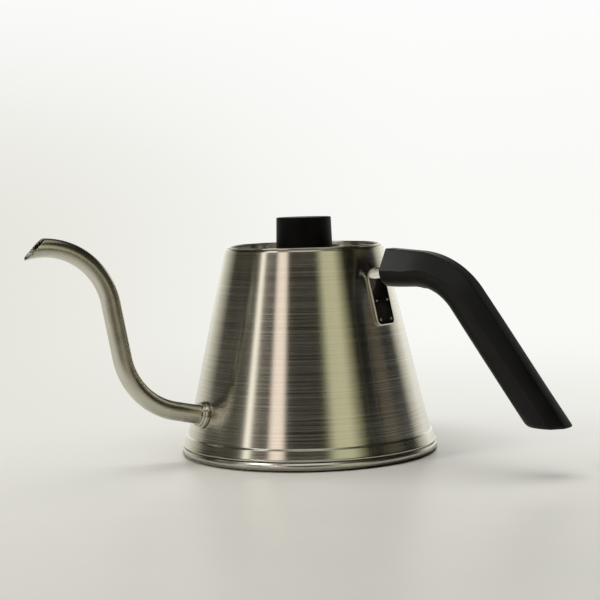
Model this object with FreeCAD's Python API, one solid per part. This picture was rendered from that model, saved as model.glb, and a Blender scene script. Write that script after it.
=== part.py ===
import FreeCAD, Part
import math
import os

# Gooseneck kettle for pouring over coffee. Millimetres, +Z up.
# Origin: centre of the flat underside, on the axis of the body. The handle points along +X.
# The spout leaves the body to the front left of the handle, not straight opposite to it.

V = FreeCAD.Vector

# ---- driving dimensions -------------------------------------------------------------------

# conical body: outside radius at height z is CONE_R0 - CONE_SLOPE * z
CONE_R0 = 68.0
CONE_SLOPE = 0.238
WALL = 0.8
CONE_BOTTOM_Z = 11.7
CONE_TOP_Z = 108.4
BAND_R = 66.9
BAND_T = 1.5
FLANGE_R = 68.0
FLANGE_Z = 5.2
FLANGE_T = 0.8

# mouth and lid seat
MOUTH_R = 40.2
MOUTH_WALL = 0.8
RIM_TOP_Z = 111.1
RIM_BEAD_R = 0.6
SEAT_Z = 104.6
SEAT_HOLE_R = 34.4
SEAT_LIP_BOTTOM_Z = 101.4

# bottom
FOOT_R = 69.0
FOOT_WIDTH = 3.2
FOOT_BOTTOM_Z = 0.8
FOOT_TOP_Z = 4.75
FOOT_TOP_ROUND = 1.4
FOOT_LOW_ROUND = 1.3
PAN_T = 1.0
CAP_R = 62.0
CAP_T = 0.8
CAP_ROUND = 1.5
CAP_GAP = 0.4
SPREADER_TOP_Z = 4.2

# spout: a straight, an arc up, a straight, an arc over the top, then a slanted cut
SPOUT_AZIMUTH = -115.0
SPOUT_Z = 24.5
SPOUT_OD = 8.6
SPOUT_BORE = 7.2
SPOUT_LEAVES_AT = math.degrees(math.atan(CONE_SLOPE))
SPOUT_ROOT = 2.0
SPOUT_FIRST_RUN = 16.0
SPOUT_LOW_R = 37.4
SPOUT_RISE_ANGLE = 80.0
SPOUT_RISE_RUN = 28.7
SPOUT_TOP_R = 35.6
SPOUT_TIP_ANGLE = -10.0
SPOUT_TIP_RUN = 8.0
TIP_CUT_LOW = (155.1, 110.6)
TIP_CUT_HIGH = (145.2, 119.7)
COLLAR_R = 7.4
COLLAR_T = 3.0
BRAZE_WIDTH = 1.3

# handle: level run that falls slightly, a bend, then a long slanted grip
GRIP_X = 55.5
GRIP_Z = 100.5
GRIP_FALL = 4.0
GRIP_LEVEL_RUN = 18.3
GRIP_BEND_R = 38.4
GRIP_SLANT = 52.7
GRIP_BOTTOM_Z = 23.5
GRIP_ABOVE = 9.0
GRIP_BELOW = 9.4
GRIP_TOP_HALF = 3.9
GRIP_HALF_WIDTH = 10.6
GRIP_RIDGE_RISE = 1.8
GRIP_FOOT_ROUND = 1.4

# steel strap that carries the handle
STRAP_WIDTH = 15.0
STRAP_T = 2.5
STRAP_BOTTOM_Z = 69.6
STRAP_BEND_R = 5.25
TONGUE_DROP = 1.6
TONGUE_DEPTH = 29.0
STRAP_FOOT_ROUND = 3.0
WELD_HEIGHTS = (72.6, 82.4)
WELD_OFFSET = 4.6
WELD_R = 1.25
WELD_RISE = 0.4
SCREW_PLACES = (8.0, 19.5)
SCREW_R = 2.0
SCREW_HEAD_R = 3.5
SCREW_HEAD_T = 2.2
SCREW_END_RISE = 1.0
WASHER_R = 3.7
WASHER_T = 0.6
WASHER_DEPTH = 1.4
SLOT_WIDTH = 0.9
SLOT_DEPTH = 0.8

# lid
LID_R = 39.7
LID_T = 0.9
LID_GAP = 0.1
LID_STEP_R = 31.0
LID_STEP_H = 1.2
SKIRT_R = 33.8
SKIRT_T = 0.7
SKIRT_BOTTOM_Z = 94.0
VENT_R = 1.6
VENT_PLACE = 25.0
KNOB_TOP_Z = 125.8
KNOB_TOP_R = 14.6
KNOB_BOTTOM_R = 15.1
KNOB_SPACER_T = 1.2
INSERT_R = 3.6
INSERT_LENGTH = 11.0
KNOB_SCREW_R = 2.0
KNOB_HEAD_R = 3.8
KNOB_HEAD_EDGE = 0.8
KNOB_HEAD_H = 2.4
KNOB_WASHER_R = 5.5
KNOB_WASHER_T = 0.6
LOCK_WASHER_R = 3.6
LOCK_WASHER_T = 0.8
LOCK_WASHER_SPLIT = 0.6


# ---- helpers ------------------------------------------------------------------------------

def cone_radius(z):
    """Outside radius of the body's cone at height z."""
    return CONE_R0 - CONE_SLOPE * z


def rz(point):
    """A point of a section, (radius, height), in the XZ plane."""
    return V(point[0], 0, point[1])


def outline(start, *steps):
    """Closed wire in the XZ plane. A step is an end point, or (middle, end) of an arc."""
    edges = []
    here = start
    for step in steps:
        if isinstance(step[0], tuple):
            middle, end = step
            edges.append(Part.Arc(rz(here), rz(middle), rz(end)).toShape())
        else:
            end = step
            edges.append(Part.LineSegment(rz(here), rz(end)).toShape())
        here = end
    if here != start:
        edges.append(Part.LineSegment(rz(here), rz(start)).toShape())
    return Part.Wire(edges)


def turned(start, *steps):
    """Solid turned about the Z axis from a section given as in outline."""
    return Part.Face(outline(start, *steps)).revolve(V(0, 0, 0), V(0, 0, 1), 360)


def tube_solid(outer_r, inner_r, low_z, high_z):
    """Plain upright ring or tube."""
    outer = Part.makeCylinder(outer_r, high_z - low_z, V(0, 0, low_z))
    return outer.cut(Part.makeCylinder(inner_r, high_z - low_z, V(0, 0, low_z)))


def heading(angle):
    """Unit direction in the XZ plane, at an angle above +X in degrees."""
    return V(math.cos(math.radians(angle)), 0, math.sin(math.radians(angle)))


def to_spout(shape):
    """Turns a shape made in the XZ plane to the spout's own azimuth."""
    return shape.rotated(V(0, 0, 0), V(0, 0, 1), SPOUT_AZIMUTH)


def cone_solid(inset):
    """Solid cone, as wide as the body's outside less inset, for trimming what meets the wall."""
    return Part.makeCone(cone_radius(0) - inset, cone_radius(120) - inset, 120)


def save(name, shape):
    """Writes one node, a single solid or a group of separate solids."""
    shape = shape.removeSplitter()
    solids = shape.Solids
    shape = solids[0] if len(solids) == 1 else Part.makeCompound(solids)
    if not shape.isValid():
        raise ValueError(name + " is not a valid solid")
    shape.exportStep(os.path.join("parts", name + ".step"))
    print(name, len(solids), "solid(s)", round(shape.Volume), "mm3")


# ---- body ---------------------------------------------------------------------------------

def body_shell():
    """Drawn cone with a rounded shoulder, and a band and flange at the foot."""
    inner = WALL * math.hypot(1, CONE_SLOPE)
    low = (cone_radius(CONE_BOTTOM_Z), CONE_BOTTOM_Z)
    high = (cone_radius(CONE_TOP_Z), CONE_TOP_Z)
    edge_r = MOUTH_R + MOUTH_WALL
    edge_z = RIM_TOP_Z - 0.9
    shell = turned(
        (edge_r, edge_z),
        ((edge_r + 0.82, edge_z - 0.56), high),
        low,
        ((low[0] + 0.35, low[1] - 0.72), (low[0] + 1.0, low[1] - 1.0)),
        ((BAND_R - 0.1, low[1] - 1.15), (BAND_R, low[1] - 1.7)),
        (BAND_R, FLANGE_Z + 1.5),
        ((BAND_R - 0.25, FLANGE_Z + 1.05), (BAND_R - 0.7, FLANGE_Z + FLANGE_T + 0.05)),
        (FLANGE_R - FLANGE_T / 2, FLANGE_Z + FLANGE_T),
        ((FLANGE_R, FLANGE_Z + FLANGE_T / 2), (FLANGE_R - FLANGE_T / 2, FLANGE_Z)),
        (BAND_R - BAND_T, FLANGE_Z),
        (BAND_R - BAND_T, low[1] - 1.2),
        (cone_radius(low[1] + 0.4) - inner, low[1] + 0.4),
        (high[0] - inner, high[1]),
        ((edge_r + 0.22, edge_z - 1.05), (edge_r, edge_z - 0.8)),
        (edge_r, edge_z),
    )
    start, along = spout_start()
    hole = Part.makeCylinder(SPOUT_OD / 2, 12, start - along * 5, along)
    return shell.cut(to_spout(hole))


def mouth_ring():
    """Pressed ring in the mouth: rolled bead, collar, ledge that carries the lid, and lip."""
    bead = V(MOUTH_R + MOUTH_WALL / 2, 0, RIM_TOP_Z - RIM_BEAD_R)
    right = (bead.x + RIM_BEAD_R * 0.75, bead.z - RIM_BEAD_R * 0.66)
    left = (bead.x - RIM_BEAD_R * 0.75, right[1])
    outer_r = MOUTH_R + MOUTH_WALL
    lip_r = SEAT_HOLE_R + MOUTH_WALL
    return turned(
        right,
        ((bead.x, RIM_TOP_Z), left),
        (MOUTH_R, left[1] - 0.3),
        (MOUTH_R, SEAT_Z),
        (SEAT_HOLE_R + 0.4, SEAT_Z),
        ((SEAT_HOLE_R + 0.12, SEAT_Z - 0.12), (SEAT_HOLE_R, SEAT_Z - 0.4)),
        (SEAT_HOLE_R, SEAT_LIP_BOTTOM_Z),
        (lip_r, SEAT_LIP_BOTTOM_Z),
        (lip_r, SEAT_Z - MOUTH_WALL),
        (outer_r - 0.8, SEAT_Z - MOUTH_WALL),
        ((outer_r - 0.23, SEAT_Z - 0.57), (outer_r, SEAT_Z)),
        (outer_r, left[1] - 0.3),
        right,
    )


def base_pan():
    """Bottom of the water space, with the folded foot ring round it."""
    top_r = BAND_R - 0.1
    inner_r = FOOT_R - FOOT_WIDTH
    floor_z = FLANGE_Z - PAN_T
    top_round = FOOT_TOP_ROUND * (1 - math.sqrt(0.5))
    low_round = FOOT_LOW_ROUND * (1 - math.sqrt(0.5))
    return turned(
        (0, FLANGE_Z),
        (top_r, FLANGE_Z),
        (top_r, FOOT_TOP_Z),
        (FOOT_R - FOOT_TOP_ROUND, FOOT_TOP_Z),
        ((FOOT_R - top_round, FOOT_TOP_Z - top_round), (FOOT_R, FOOT_TOP_Z - FOOT_TOP_ROUND)),
        (FOOT_R, FOOT_BOTTOM_Z + FOOT_LOW_ROUND),
        ((FOOT_R - low_round, FOOT_BOTTOM_Z + low_round), (FOOT_R - FOOT_LOW_ROUND, FOOT_BOTTOM_Z)),
        (inner_r + 0.7, FOOT_BOTTOM_Z),
        ((inner_r + 0.2, FOOT_BOTTOM_Z + 0.2), (inner_r, FOOT_BOTTOM_Z + 0.7)),
        (inner_r, floor_z),
        (0, floor_z),
    )


def heat_spreader():
    """Aluminium disc between the pan and the cap."""
    return Part.makeCylinder(CAP_R - CAP_T, SPREADER_TOP_Z - CAP_T, V(0, 0, CAP_T))


def base_cap():
    """Steel dish pressed over the spreader. Its flat underside is the rest face."""
    rounding = CAP_ROUND * (1 - math.sqrt(0.5))
    return turned(
        (0, 0),
        (CAP_R - CAP_ROUND, 0),
        ((CAP_R - rounding, rounding), (CAP_R, CAP_ROUND)),
        (CAP_R, SPREADER_TOP_Z - CAP_GAP),
        (CAP_R - CAP_T, SPREADER_TOP_Z - CAP_GAP),
        (CAP_R - CAP_T, CAP_T),
        (0, CAP_T),
    )


# ---- spout --------------------------------------------------------------------------------

def spout_start():
    """Where the spout's axis crosses the body's outside, and its direction there."""
    return V(cone_radius(SPOUT_Z), 0, SPOUT_Z), heading(SPOUT_LEAVES_AT)


def arc_edge(start, from_angle, to_angle, radius):
    """Arc tangent to its start, in the XZ plane. Returns the edge and its end."""
    side = 1 if to_angle > from_angle else -1

    def at(angle):
        centre = start + heading(from_angle + 90 * side) * radius
        return centre - heading(angle + 90 * side) * radius

    end = at(to_angle)
    return Part.Arc(start, at((from_angle + to_angle) / 2), end).toShape(), end


def spout_path():
    """Centre line of the spout, from inside the body to past the tip."""
    wall, along = spout_start()
    first = wall - along * SPOUT_ROOT
    bend = wall + along * SPOUT_FIRST_RUN
    low_arc, rise = arc_edge(bend, SPOUT_LEAVES_AT, SPOUT_RISE_ANGLE, SPOUT_LOW_R)
    top = rise + heading(SPOUT_RISE_ANGLE) * SPOUT_RISE_RUN
    top_arc, tip = arc_edge(top, SPOUT_RISE_ANGLE, SPOUT_TIP_ANGLE, SPOUT_TOP_R)
    last = tip + heading(SPOUT_TIP_ANGLE) * SPOUT_TIP_RUN
    return Part.Wire([
        Part.LineSegment(first, bend).toShape(),
        low_arc,
        Part.LineSegment(rise, top).toShape(),
        top_arc,
        Part.LineSegment(tip, last).toShape(),
    ])


def pipe(path, radius):
    """Round bar along a path."""
    start = path.Vertexes[0].Point
    ring = Part.Wire([Part.makeCircle(radius, start, path.Edges[0].tangentAt(0))])
    return path.makePipeShell([ring], True, True)


def past_tip():
    """Block that cuts the tip on its slant: the lower lip reaches further than the upper."""
    low = rz(TIP_CUT_LOW)
    high = rz(TIP_CUT_HIGH)
    slant = (high - low).normalize()
    outward = V(-slant.z, 0, slant.x) * -1
    corners = [low - slant * 15, high + slant * 15]
    corners += [corners[1] + outward * 30, corners[0] + outward * 30]
    face = Part.Face(Part.makePolygon(corners + corners[:1]))
    return face.translated(V(0, -20, 0)).extrude(V(0, 40, 0))


def spout_tube():
    """Bent steel tube with a slanted mouth."""
    path = spout_path()
    tube = pipe(path, SPOUT_OD / 2).cut(pipe(path, SPOUT_BORE / 2))
    return to_spout(tube.cut(past_tip()))


def spout_collar():
    """Polished ring with a double bead, where the spout meets the wall."""
    wall = spout_start()[0]
    ring = turned(
        (SPOUT_OD / 2, -SPOUT_ROOT),
        (COLLAR_R - 0.3, -SPOUT_ROOT),
        (COLLAR_R - 0.3, 0.7),
        ((COLLAR_R, 1.25), (COLLAR_R - 0.4, 1.75)),
        ((COLLAR_R - 0.55, 2.45), (COLLAR_R - 1.3, 2.85)),
        ((COLLAR_R - 2.0, COLLAR_T), (SPOUT_OD / 2, COLLAR_T - 0.1)),
    )
    ring = ring.rotated(V(0, 0, 0), V(0, 1, 0), 90 - SPOUT_LEAVES_AT).translated(wall)
    return to_spout(ring.cut(cone_solid(0)))


def spout_braze_ring():
    """Fillet of braze that seals the tube to the wall on the water side."""
    wall = spout_start()[0]
    inner = WALL * math.hypot(1, CONE_SLOPE)
    ring = turned(
        (SPOUT_OD / 2, -SPOUT_ROOT + 0.4),
        (SPOUT_OD / 2 + BRAZE_WIDTH, -WALL),
        (SPOUT_OD / 2 + BRAZE_WIDTH, 0),
        (SPOUT_OD / 2, 0),
    )
    ring = ring.rotated(V(0, 0, 0), V(0, 1, 0), 90 - SPOUT_LEAVES_AT).translated(wall)
    return to_spout(ring.common(cone_solid(inner)))


# ---- handle -------------------------------------------------------------------------------

def grip_point(run, rise):
    """Point of the level part: run along the grip's axis, rise square to it."""
    return V(GRIP_X, 0, GRIP_Z) + heading(-GRIP_FALL) * run + heading(90 - GRIP_FALL) * rise


def grip_path():
    """Axis of the grip, from before its end face to below its foot."""
    first = grip_point(-2, 0)
    bend = grip_point(GRIP_LEVEL_RUN, 0)
    arc, slant = arc_edge(bend, -GRIP_FALL, -GRIP_SLANT, GRIP_BEND_R)
    drop = (slant.z - GRIP_BOTTOM_Z + 12) / math.sin(math.radians(GRIP_SLANT))
    last = slant + heading(-GRIP_SLANT) * drop
    return Part.Wire([
        Part.LineSegment(first, bend).toShape(),
        arc,
        Part.LineSegment(slant, last).toShape(),
    ])


def grip_section(centre, angle):
    """Section of the grip: flat top, two sloping facets down to the ridges, round below."""
    up = heading(angle + 90)
    side = V(0, 1, 0)
    top = [centre + up * GRIP_ABOVE + side * (s * GRIP_TOP_HALF) for s in (-1, 1)]
    ridges = [centre + up * GRIP_RIDGE_RISE + side * (s * GRIP_HALF_WIDTH) for s in (-1, 1)]
    return Part.Wire([
        Part.LineSegment(ridges[0], top[0]).toShape(),
        Part.LineSegment(top[0], top[1]).toShape(),
        Part.LineSegment(top[1], ridges[1]).toShape(),
        Part.Arc(ridges[1], centre - up * GRIP_BELOW, ridges[0]).toShape(),
    ])


def grip_solid():
    """Outer form of the grip, with a level cut at its foot and an upright end face."""
    path = grip_path()
    start = path.OrderedVertexes[0].Point
    sweep = Part.BRepOffsetAPI.MakePipeShell(path)
    sweep.setBiNormalMode(V(0, 1, 0))
    sweep.add(grip_section(start, -GRIP_FALL))
    sweep.build()
    sweep.makeSolid()
    bar = sweep.shape()
    end_block = Part.makeBox(40, 60, 60, V(GRIP_X - 40, -30, GRIP_Z - 30))
    foot_block = Part.makeBox(120, 60, 60, V(GRIP_X + 30, -30, GRIP_BOTTOM_Z - 60))
    bar = bar.cut(end_block).cut(foot_block)
    foot_edges = [e for e in bar.Edges if e.BoundBox.ZMax < GRIP_BOTTOM_Z + 0.01]
    return bar.makeFillet(GRIP_FOOT_ROUND, foot_edges)


def strap_corner():
    """Corner where the strap's middle line turns from the wall into the handle."""
    tongue = grip_point(0, -TONGUE_DROP)
    fall = math.tan(math.radians(GRIP_FALL))
    lift = STRAP_T / 2 * math.hypot(1, CONE_SLOPE)
    z = (tongue.z - fall * (CONE_R0 + lift - tongue.x)) / (1 - fall * CONE_SLOPE)
    return V(cone_radius(z) + lift, 0, z)


def bent_strip(before, corner, after, radius, thickness):
    """Face of a strip in the XZ plane that turns a corner with a bend of that middle radius."""
    first = (before - corner).normalize()
    second = (after - corner).normalize()
    half_angle = first.getAngle(second) / 2
    reach = radius / math.tan(half_angle)
    centre = corner + (first + second).normalize() * (radius / math.sin(half_angle))
    inward = [(centre - (corner + d * reach)).normalize() for d in (first, second)]
    middle = (corner - centre).normalize()
    sides = []
    for offset in (-thickness / 2, thickness / 2):
        ends = (before + inward[0] * offset, after + inward[1] * offset)
        turn = [corner + d * reach + n * offset for d, n in zip((first, second), inward)]
        arc = Part.Arc(turn[0], centre + middle * (radius - offset), turn[1]).toShape()
        run_in = Part.LineSegment(ends[0], turn[0]).toShape()
        run_out = Part.LineSegment(turn[1], ends[1]).toShape()
        sides.append((ends, [run_in, arc, run_out]))
    caps = [Part.LineSegment(sides[0][0][i], sides[1][0][i]).toShape() for i in (0, 1)]
    return Part.Face(Part.Wire(Part.sortEdges(sides[0][1] + sides[1][1] + caps)[0]))


def strap_frame():
    """Foot of the strap's middle line, the way up the wall, and the way out of the wall."""
    lift = STRAP_T / 2 * math.hypot(1, CONE_SLOPE)
    foot = V(cone_radius(STRAP_BOTTOM_Z) + lift, 0, STRAP_BOTTOM_Z)
    up = V(-CONE_SLOPE, 0, 1).normalize()
    out = V(1, 0, CONE_SLOPE).normalize()
    return foot, up, out


def handle_bracket():
    """Steel strap: a leg welded up the wall, a bend, and a tongue that enters the grip."""
    foot, up, out = strap_frame()
    corner = strap_corner()
    tongue_end = grip_point(TONGUE_DEPTH, -TONGUE_DROP)
    strip = bent_strip(foot, corner, tongue_end, STRAP_BEND_R, STRAP_T)
    half = STRAP_WIDTH / 2
    strap = strip.translated(V(0, -half, 0)).extrude(V(0, STRAP_WIDTH, 0))
    leg_length = (corner - foot).Length - 9
    packing_corners = [foot, foot + up * leg_length]
    packing_corners += [packing_corners[1] - out * 3, foot - out * 3]
    packing = Part.Face(Part.makePolygon(packing_corners + packing_corners[:1]))
    strap = strap.fuse(packing.translated(V(0, -half, 0)).extrude(V(0, STRAP_WIDTH, 0)))
    strap = strap.removeSplitter()
    corners = [e for e in strap.Edges if is_foot_corner(e, half)]
    strap = strap.makeFillet(STRAP_FOOT_ROUND, corners)
    strap = strap.cut(cone_solid(0))
    for weld in weld_buttons():
        strap = strap.cut(weld)
    for place in SCREW_PLACES:
        strap = strap.cut(screw_bore(place, SCREW_R, -9, 4))
    return strap


def is_foot_corner(edge, half):
    """True for the two edges at the strap's foot that run through its thickness."""
    points = [v.Point for v in edge.Vertexes]
    at_side = all(abs(abs(p.y) - half) < 0.01 for p in points)
    low = all(p.z < STRAP_BOTTOM_Z + 1.2 for p in points)
    across = abs(points[0].y - points[-1].y) < 0.01
    return at_side and low and across and edge.Length > STRAP_T * 0.9


def weld_buttons():
    """Four low round welds that hold the strap's leg to the wall."""
    foot, up, out = strap_frame()
    buttons = []
    for z in WELD_HEIGHTS:
        for side in (-1, 1):
            button = Part.makeCylinder(WELD_R, STRAP_T * 2 + WELD_RISE, V(0, 0, -STRAP_T * 1.5))
            rim = [e for e in button.Edges if e.BoundBox.ZMin > STRAP_T / 2]
            button = button.makeFillet(WELD_RISE * 0.9, rim)
            button = button.rotated(V(0, 0, 0), V(0, 1, 0), 90 - SPOUT_LEAVES_AT)
            place = foot + up * ((z - STRAP_BOTTOM_Z) / up.z) + V(0, side * WELD_OFFSET, 0)
            buttons.append(button.translated(place).cut(cone_solid(0)))
    return buttons


def screw_bore(place, radius, low, high):
    """Round bar square to the tongue, at a place along the grip, from low to high."""
    start = grip_point(place, low)
    return Part.makeCylinder(radius, high - low, start, heading(90 - GRIP_FALL))


def washer_top():
    """Height of the face the washers bear on, measured square to the grip's axis."""
    return -TONGUE_DROP - STRAP_T / 2 - WASHER_DEPTH


def handle_screws():
    """Two screws that go up through the grip into the tapped tongue."""
    screws = []
    head_low = washer_top() - WASHER_T - SCREW_HEAD_T
    for place in SCREW_PLACES:
        head = screw_bore(place, SCREW_HEAD_R, head_low, head_low + SCREW_HEAD_T)
        slot_start = grip_point(place, head_low) + heading(-GRIP_FALL) * -SCREW_HEAD_R
        slot = Part.makeBox(SCREW_HEAD_R * 2, SLOT_WIDTH, SLOT_DEPTH, V(0, -SLOT_WIDTH / 2, 0))
        slot = slot.rotated(V(0, 0, 0), V(0, 1, 0), GRIP_FALL).translated(slot_start)
        shank = screw_bore(place, SCREW_R, head_low + SLOT_DEPTH, SCREW_END_RISE)
        screws.append(head.fuse(shank).cut(slot))
    return screws


def handle_washers():
    """Washers under the heads of the two screws."""
    top = washer_top()
    washers = []
    for place in SCREW_PLACES:
        outer = screw_bore(place, WASHER_R, top - WASHER_T, top)
        washers.append(outer.cut(screw_bore(place, SCREW_R, top - WASHER_T, top)))
    return washers


def screw_pockets():
    """Bores in the grip: for the heads from below, and for the ends of the shanks."""
    pockets = []
    for place in SCREW_PLACES:
        pockets.append(screw_bore(place, WASHER_R, -GRIP_BELOW * 2, washer_top()))
        pockets.append(screw_bore(place, SCREW_R, washer_top() - 1, SCREW_END_RISE + 0.6))
    return pockets


def screw_plugs(grip):
    """Plugs that close the screw holes, flush with the round underside of the grip."""
    plug_top = washer_top() - WASHER_T - SCREW_HEAD_T
    plugs = []
    for place in SCREW_PLACES:
        plugs.append(screw_bore(place, WASHER_R, -GRIP_BELOW * 2, plug_top).common(grip))
    return plugs


def handle_grip(grip):
    """Moulded grip with a slot for the tongue and the screw holes."""
    for pocket in screw_pockets():
        grip = grip.cut(pocket)
    half = STRAP_WIDTH / 2
    low = -TONGUE_DROP - STRAP_T / 2
    slot = Part.makeBox(TONGUE_DEPTH + 5, STRAP_WIDTH, STRAP_T, V(-5, -half, low))
    slot = slot.rotated(V(0, 0, 0), V(0, 1, 0), GRIP_FALL).translated(V(GRIP_X, 0, GRIP_Z))
    return grip.cut(slot)


# ---- lid ----------------------------------------------------------------------------------

def lid_plate():
    """Lid disc with a raised middle, a screw hole and a steam vent."""
    low = SEAT_Z + LID_GAP
    raised = low + LID_STEP_H
    plate = turned(
        (0, raised),
        (LID_STEP_R - 1.2, raised),
        (LID_STEP_R + 0.6, low),
        (LID_R - 0.45, low),
        ((LID_R, low + 0.45), (LID_R - 0.45, low + LID_T)),
        (LID_STEP_R + 0.8, low + LID_T),
        (LID_STEP_R - 1.0, raised + LID_T),
        (0, raised + LID_T),
    )
    plate = plate.cut(Part.makeCylinder(KNOB_SCREW_R, 8, V(0, 0, low - 2)))
    vent = Part.makeCylinder(VENT_R, 8, V(-VENT_PLACE, 0, low - 2))
    return plate.cut(vent)


def lid_skirt():
    """Ring under the lid that hangs inside the seat and centres the lid."""
    top = SEAT_Z + LID_GAP
    return tube_solid(SKIRT_R, SKIRT_R - SKIRT_T, SKIRT_BOTTOM_Z, top)


def plate_top():
    """Height of the raised middle of the lid."""
    return SEAT_Z + LID_GAP + LID_STEP_H + LID_T


def knob_spacer():
    """Ring that keeps the knob off the hot plate."""
    low = plate_top()
    return tube_solid(KNOB_BOTTOM_R - 4, KNOB_SCREW_R, low, low + KNOB_SPACER_T)


def lid_knob():
    """Moulded knob: a plain short cylinder, a little wider at the bottom."""
    low = plate_top() + KNOB_SPACER_T
    knob = turned(
        (0, low),
        (KNOB_BOTTOM_R - 0.5, low),
        ((KNOB_BOTTOM_R - 0.14, low + 0.14), (KNOB_BOTTOM_R, low + 0.5)),
        (KNOB_TOP_R, KNOB_TOP_Z - 0.4),
        ((KNOB_TOP_R - 0.12, KNOB_TOP_Z - 0.12), (KNOB_TOP_R - 0.4, KNOB_TOP_Z)),
        (0, KNOB_TOP_Z),
    )
    return knob.cut(Part.makeCylinder(INSERT_R, INSERT_LENGTH, V(0, 0, low)))


def knob_insert():
    """Threaded brass insert moulded into the knob."""
    low = plate_top() + KNOB_SPACER_T
    return tube_solid(INSERT_R, KNOB_SCREW_R, low, low + INSERT_LENGTH)


def knob_screw():
    """Pan head screw from below the lid, with a slot."""
    head_top = plate_top() - LID_T - KNOB_WASHER_T - LOCK_WASHER_T
    shank_top = plate_top() + KNOB_SPACER_T + INSERT_LENGTH - 2
    head_low = head_top - KNOB_HEAD_H
    head = turned(
        (0, head_top),
        (KNOB_HEAD_R, head_top),
        (KNOB_HEAD_R, head_top - KNOB_HEAD_EDGE),
        ((KNOB_HEAD_R - 0.9, head_low + 0.4), (0, head_low)),
    )
    slot = Part.makeBox(3 * KNOB_HEAD_R, SLOT_WIDTH, SLOT_DEPTH + 1)
    slot.translate(V(-1.5 * KNOB_HEAD_R, -SLOT_WIDTH / 2, head_low - 1))
    shank = Part.makeCylinder(KNOB_SCREW_R, shank_top - head_top + 0.5, V(0, 0, head_top - 0.5))
    return head.fuse(shank).cut(slot)


def knob_lock_washer():
    """Split spring washer under the head of the knob's screw."""
    low = plate_top() - LID_T - KNOB_WASHER_T - LOCK_WASHER_T
    ring = tube_solid(LOCK_WASHER_R, KNOB_SCREW_R, low, low + LOCK_WASHER_T)
    split = Part.makeBox(LOCK_WASHER_R, LOCK_WASHER_SPLIT, LOCK_WASHER_R)
    return ring.cut(split.translated(V(1, -LOCK_WASHER_SPLIT / 2, low - 1)))


def knob_washer():
    """Flat washer between the spring washer and the plate."""
    low = plate_top() - LID_T - KNOB_WASHER_T
    return tube_solid(KNOB_WASHER_R, KNOB_SCREW_R, low, low + KNOB_WASHER_T)


# ---- assembly -----------------------------------------------------------------------------

def main():
    os.makedirs("parts", exist_ok=True)
    grip = grip_solid()

    save("body_shell", body_shell())
    save("mouth_ring", mouth_ring())
    save("base_pan", base_pan())
    save("heat_spreader", heat_spreader())
    save("base_cap", base_cap())

    save("spout_tube", spout_tube())
    save("spout_collar", spout_collar())
    save("spout_braze_ring", spout_braze_ring())

    save("handle_bracket", handle_bracket())
    save("bracket_spot_welds", Part.makeCompound(weld_buttons()))
    save("handle_grip", handle_grip(grip))
    save("handle_screws", Part.makeCompound(handle_screws()))
    save("handle_washers", Part.makeCompound(handle_washers()))
    save("handle_screw_plugs", Part.makeCompound(screw_plugs(grip)))

    save("lid_plate", lid_plate())
    save("lid_skirt", lid_skirt())
    save("knob_spacer", knob_spacer())
    save("lid_knob", lid_knob())
    save("knob_insert", knob_insert())
    save("knob_screw", knob_screw())
    save("knob_lock_washer", knob_lock_washer())
    save("knob_washer", knob_washer())


main()
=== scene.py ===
import math

import bmesh
import bpy
from mathutils import Matrix, Quaternion, Vector

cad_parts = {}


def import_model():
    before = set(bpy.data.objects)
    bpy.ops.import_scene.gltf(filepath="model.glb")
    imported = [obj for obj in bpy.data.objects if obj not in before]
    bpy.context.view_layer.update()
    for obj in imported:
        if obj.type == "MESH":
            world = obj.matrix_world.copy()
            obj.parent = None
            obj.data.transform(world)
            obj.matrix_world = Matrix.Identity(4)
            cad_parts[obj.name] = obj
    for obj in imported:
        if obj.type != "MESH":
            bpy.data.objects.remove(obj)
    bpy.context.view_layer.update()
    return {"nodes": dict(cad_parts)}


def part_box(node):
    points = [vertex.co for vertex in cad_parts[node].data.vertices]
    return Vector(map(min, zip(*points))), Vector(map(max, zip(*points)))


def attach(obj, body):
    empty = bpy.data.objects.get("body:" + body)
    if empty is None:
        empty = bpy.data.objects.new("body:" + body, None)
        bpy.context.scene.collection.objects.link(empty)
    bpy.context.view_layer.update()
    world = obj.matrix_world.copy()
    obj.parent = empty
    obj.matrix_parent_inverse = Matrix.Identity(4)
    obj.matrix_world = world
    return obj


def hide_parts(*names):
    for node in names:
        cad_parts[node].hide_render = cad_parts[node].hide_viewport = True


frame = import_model()

# Gooseneck kettle, in metres, +Z up, the handle along +X. Lengths named below are in millimetres.
MM = 0.001
UP = Vector((0, 0, 1))
ACROSS = Vector((0, 1, 0))
ROUND_STEPS = 256

# body, a cone whose outside radius at height z is CONE_R0 - CONE_SLOPE * z
CONE_R0 = 68.0
CONE_SLOPE = 0.238
CONE_LEAN = math.degrees(math.atan(CONE_SLOPE))
WALL = 0.8
BODY_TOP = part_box("body_shell")[1].z / MM
FLANGE_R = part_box("body_shell")[1].x / MM
FLANGE_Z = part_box("body_shell")[0].z / MM
BAND_R = 66.9
BAND_LOW_R = 67.7
BAND_HIGH_R = 66.15
STEP_Z = 11.2
SHOULDER_Z = 108.4
HOLE_LOW_Z = 17.0
HOLE_HIGH_Z = 32.2

# mouth
MOUTH_R = 40.2
RIM_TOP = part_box("mouth_ring")[1].z / MM
SEAT_Z = 104.6
SEAT_HOLE_R = 34.4
LIP_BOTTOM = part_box("mouth_ring")[0].z / MM

# foot
FOOT_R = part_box("base_pan")[1].x / MM
FOOT_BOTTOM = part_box("base_pan")[0].z / MM
FOOT_TOP = 4.75
FOOT_WIDTH = 3.2
CAP_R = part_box("base_cap")[1].x / MM
CAP_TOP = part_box("base_cap")[1].z / MM

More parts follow.
